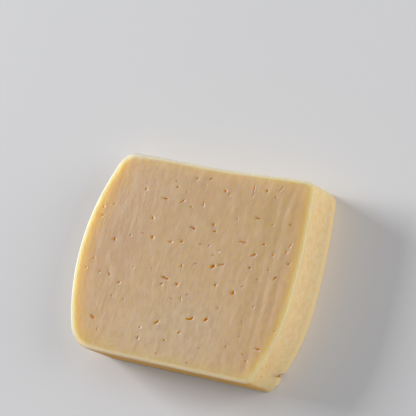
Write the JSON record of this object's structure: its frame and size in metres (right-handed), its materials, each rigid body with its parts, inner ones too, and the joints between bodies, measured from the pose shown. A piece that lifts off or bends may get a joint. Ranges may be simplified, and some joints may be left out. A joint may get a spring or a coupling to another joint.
{
  "type": "havarti cheese slab",
  "caption": "Slab of semi-soft cheese cut across a loaf: flat top and bottom, two bulging sides, softly rounded rims, a small nick and many small irregular eyes, lying flat on one cut face.",
  "frame": {"origin": "centre of the bounding box, on the cut face that the slab lies on", "axes": "+X along the width of the loaf's section, towards its steeper side; +Y towards its top flat; +Z through the slab's thickness, out of the shown cut face"},
  "size_m": [0.141, 0.1074, 0.0226],
  "materials": {
    "havarti": "semi-soft cheese: pale buff cut faces with small eyes, cream pressed rind, a soft translucent glow at thin rims and a low satin gloss"
  },
  "bodies": {
    "root": {"havarti_slab": "havarti"}
  },
  "joints": []
}
